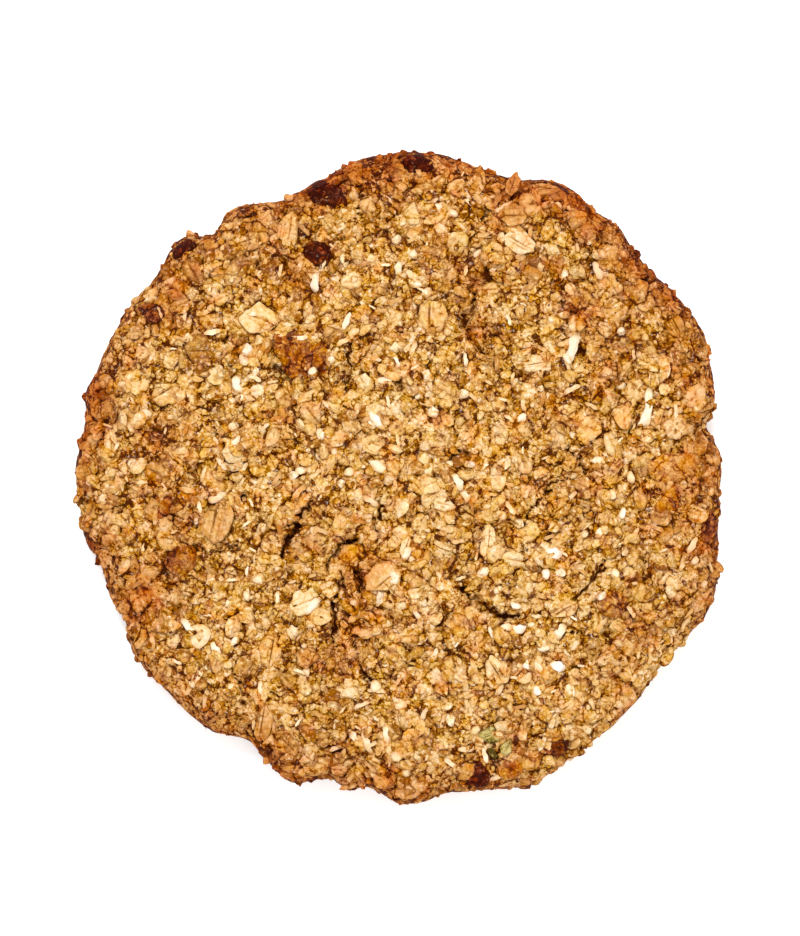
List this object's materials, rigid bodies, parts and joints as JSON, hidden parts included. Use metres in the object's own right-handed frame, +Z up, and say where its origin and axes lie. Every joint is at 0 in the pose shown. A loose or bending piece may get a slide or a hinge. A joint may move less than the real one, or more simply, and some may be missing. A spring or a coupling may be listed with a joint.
{
  "type": "pineapple orange cookie",
  "caption": "Large round oat and coconut cookie with dried fruit: a low flat-bottomed disc with a lobed edge and a craggy, cracked top of flakes, shreds and grains.",
  "frame": {"origin": "middle of the flat underside, on the axis through the middle of the cookie's box", "axes": "+Z up out of the baked top, +X to the right and +Y away from the reader when the cookie lies as it is usually seen from above"},
  "size_m": [0.0958, 0.097, 0.0126],
  "materials": {
    "baked_crumb": "dry matt crumb"
  },
  "bodies": {
    "root": {"cookie": "baked_crumb"}
  },
  "joints": []
}
